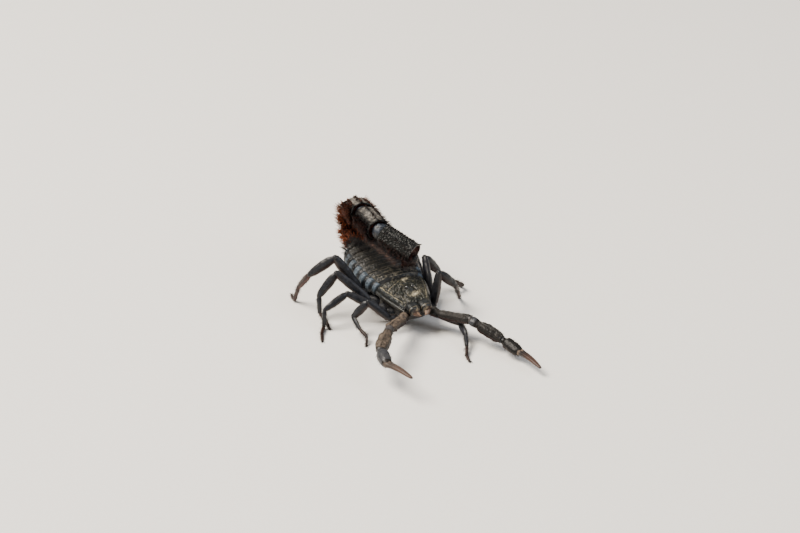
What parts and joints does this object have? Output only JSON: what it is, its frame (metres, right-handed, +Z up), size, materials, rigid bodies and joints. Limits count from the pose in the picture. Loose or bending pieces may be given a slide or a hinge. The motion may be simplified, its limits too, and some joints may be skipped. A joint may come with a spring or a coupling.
{
  "type": "thick-tailed scorpion",
  "caption": "Life-size still model of a walking thick-tailed scorpion, its bristly tail curled forward over its back and its slender pincers held low, for display or a scene.",
  "frame": {"origin": "centre of the bounding box's base, on the floor the feet stand on", "axes": "+Z up; the animal's head points along -Y and its left side is on +X"},
  "size_m": [0.0608, 0.1052, 0.0337],
  "materials": {
    "back_plate": "granular charcoal plates with dusty cream and olive wear",
    "tail_plate": "rough black barrels with red-brown bristles and smooth blue-grey balls",
    "belly_skin": "smooth grey skin",
    "leg_shell": "smooth blue-grey shell",
    "foot_shell": "dark red-brown shell with fine hairs",
    "finger_shell": "polished red-brown shell",
    "eye": "glossy black"
  },
  "bodies": {
    "root": {"carapace": "back_plate", "median_eye_left": "eye", "median_eye_right": "eye", "prosoma_underside": "belly_skin", "mesosoma": "back_plate", "chelicera_left": "belly_skin", "chelicera_right": "belly_skin", "pecten_left": "belly_skin", "pecten_right": "belly_skin", "right_pedipalp_trochanter": "leg_shell", "right_pedipalp_femur": "back_plate", "right_pedipalp_patella": "back_plate", "right_pedipalp_hand": "back_plate", "right_movable_finger": "finger_shell", "left_pedipalp_trochanter": "leg_shell", "left_pedipalp_femur": "back_plate", "left_pedipalp_patella": "back_plate", "left_pedipalp_hand": "back_plate", "left_movable_finger": "finger_shell", "right_leg_1_femur": "leg_shell", "right_leg_1_patella": "leg_shell", "right_leg_1_tibia": "leg_shell", "right_leg_1_tarsus": "foot_shell", "right_leg_2_femur": "leg_shell", "right_leg_2_patella": "leg_shell", "right_leg_2_tibia": "leg_shell", "right_leg_2_tarsus": "foot_shell", "right_leg_3_femur": "leg_shell", "right_leg_3_patella": "leg_shell", "right_leg_3_tibia": "leg_shell", "right_leg_3_tarsus": "foot_shell", "right_leg_4_femur": "leg_shell", "right_leg_4_patella": "leg_shell", "right_leg_4_tibia": "leg_shell", "right_leg_4_tarsus": "foot_shell", "left_leg_1_femur": "leg_shell", "left_leg_1_patella": "leg_shell", "left_leg_1_tibia": "leg_shell", "left_leg_1_tarsus": "foot_shell", "left_leg_2_femur": "leg_shell", "left_leg_2_patella": "leg_shell", "left_leg_2_tibia": "leg_shell", "left_leg_2_tarsus": "foot_shell", "left_leg_3_femur": "leg_shell", "left_leg_3_patella": "leg_shell", "left_leg_3_tibia": "leg_shell", "left_leg_3_tarsus": "foot_shell", "left_leg_4_femur": "leg_shell", "left_leg_4_patella": "leg_shell", "left_leg_4_tibia": "leg_shell", "left_leg_4_tarsus": "foot_shell", "metasoma_1": "tail_plate", "metasoma_2": "tail_plate", "metasoma_3": "tail_plate", "metasoma_4": "tail_plate", "metasoma_5": "tail_plate", "telson": "finger_shell"}
  },
  "joints": []
}
